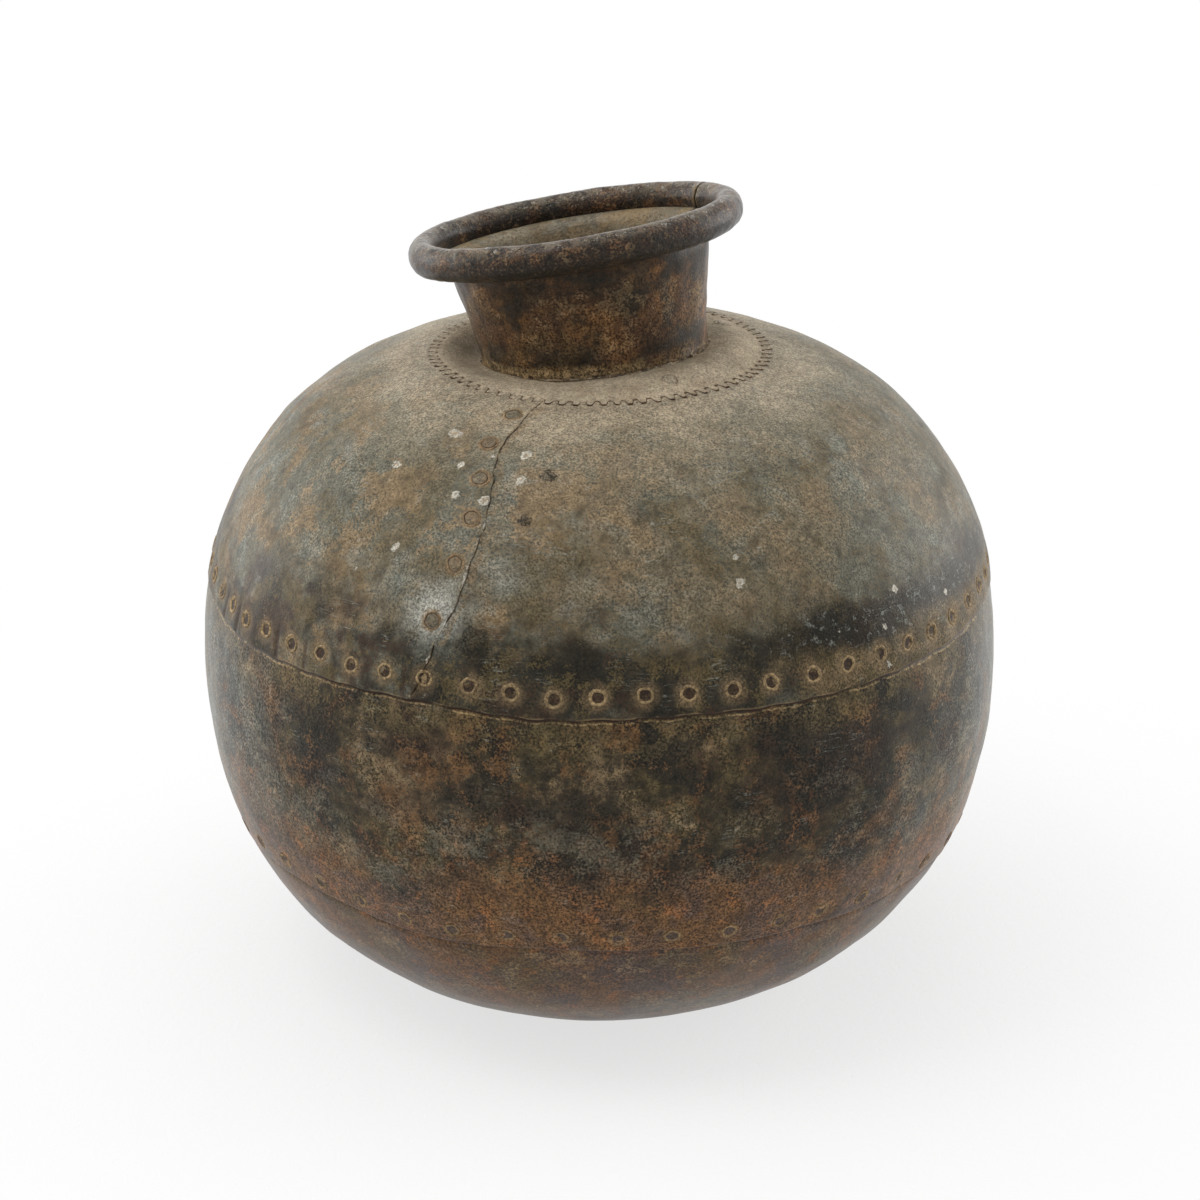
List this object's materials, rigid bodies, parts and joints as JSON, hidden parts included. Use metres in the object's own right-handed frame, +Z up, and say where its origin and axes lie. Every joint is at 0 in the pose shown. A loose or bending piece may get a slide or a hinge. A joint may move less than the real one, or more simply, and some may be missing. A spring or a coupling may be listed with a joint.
{
  "type": "iron water pot",
  "caption": "Round-bellied riveted sheet-iron water pot with a leaning neck and a rolled, wired rim, for carrying and storing water.",
  "frame": {"origin": "centre of the flat base disc, on the floor", "axes": "+Z up along the body's axis; -Y faces the camera, with the front side seam to the left of it; the neck leans to -X and +Y"},
  "size_m": [0.3794, 0.3794, 0.3813],
  "materials": {
    "bottom_iron": "rusty brown, matt",
    "belly_iron": "dark olive-brown patina, satin",
    "shoulder_iron": "grey-olive patina with tan dust, satin",
    "neck_plate_iron": "dusty khaki, matt",
    "neck_iron": "rust brown with black mottling, satin",
    "rim_iron": "dark umber, worn smooth, satin",
    "wire_iron": "bare dark iron, hidden in the rim",
    "rivet_iron": "dished heads with dusty rings, satin"
  },
  "bodies": {
    "root": {"bottom_bowl": "bottom_iron", "belly_band": "belly_iron", "shoulder_plate_left": "shoulder_iron", "shoulder_plate_right": "shoulder_iron", "neck_plate": "neck_plate_iron", "neck_sleeve": "neck_iron", "rim_roll": "rim_iron", "rim_wire": "wire_iron", "front_seam_rivet_1": "rivet_iron", "front_seam_rivet_2": "rivet_iron", "front_seam_rivet_3": "rivet_iron", "front_seam_rivet_4": "rivet_iron", "front_seam_rivet_5": "rivet_iron", "front_seam_rivet_6": "rivet_iron", "back_seam_rivet_1": "rivet_iron", "back_seam_rivet_2": "rivet_iron", "back_seam_rivet_3": "rivet_iron", "back_seam_rivet_4": "rivet_iron", "back_seam_rivet_5": "rivet_iron", "back_seam_rivet_6": "rivet_iron", "neck_plug_rivet_1": "rivet_iron", "neck_plug_rivet_2": "rivet_iron"}
  },
  "joints": []
}
